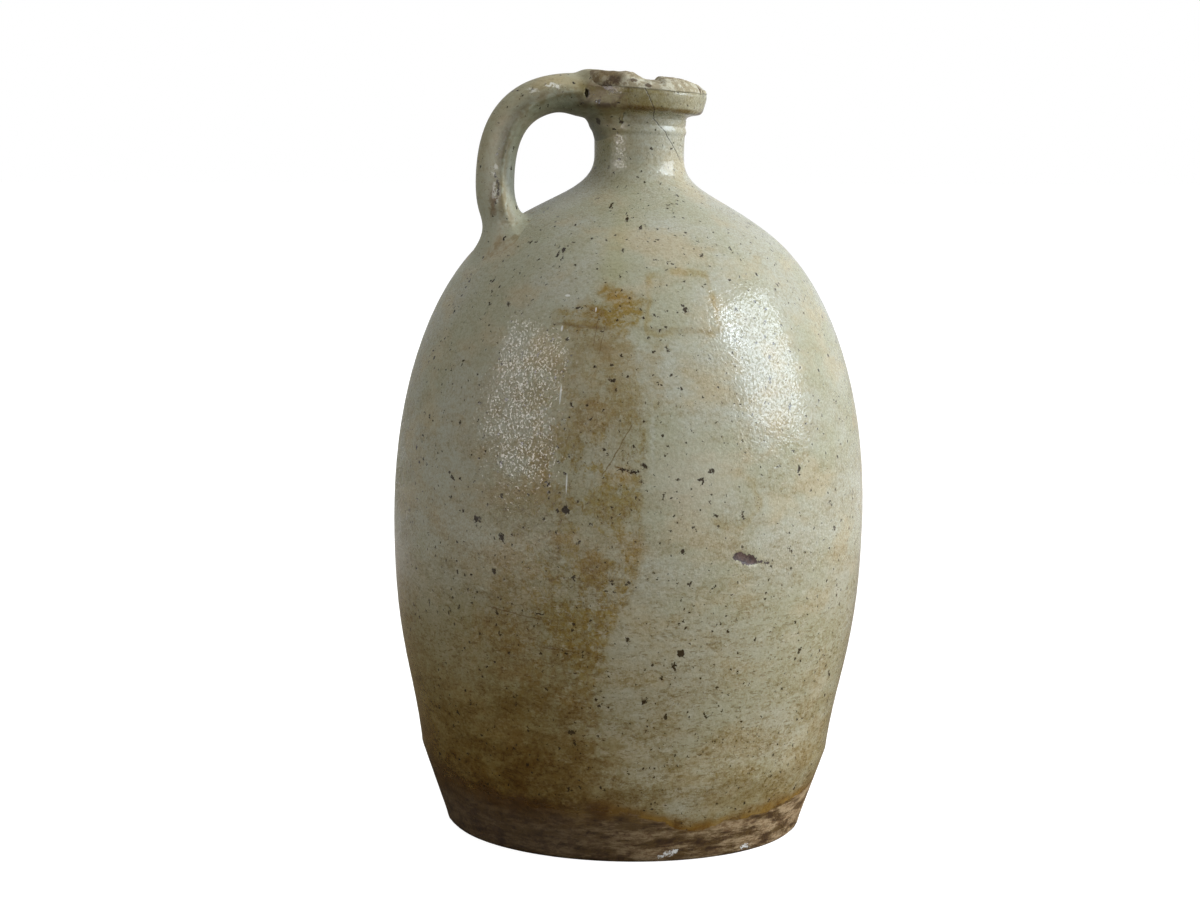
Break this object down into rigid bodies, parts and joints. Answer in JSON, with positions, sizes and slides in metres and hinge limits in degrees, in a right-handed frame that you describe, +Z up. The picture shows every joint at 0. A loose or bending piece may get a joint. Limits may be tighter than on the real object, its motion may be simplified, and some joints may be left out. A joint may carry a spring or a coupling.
{
  "type": "stoneware jug",
  "caption": "Tall wheel-thrown stoneware jug with a narrow neck, a tooled collar round its mouth and a strap ear handle from collar to shoulder, under a pale speckled glaze.",
  "frame": {"origin": "centre of the foot, on the surface that the jug stands on", "axes": "+Z up along the axis that the vessel was thrown on, -X towards the handle, so the XZ plane is the plane of symmetry"},
  "size_m": [0.228, 0.228, 0.3661],
  "materials": {
    "body_glaze": "pale grey-green feldspathic glaze with dark iron specks and brown stains, glossy with a slight orange-peel surface, bare brown stoneware round the foot",
    "collar_glaze": "the same glaze worn thin and chipped at the lip, with brown clay showing",
    "handle_glaze": "the same glaze pooled thicker in the hollows, worn along the ridge"
  },
  "bodies": {
    "root": {"vessel_body": "body_glaze", "mouth_collar": "collar_glaze", "strap_handle": "handle_glaze"}
  },
  "joints": []
}
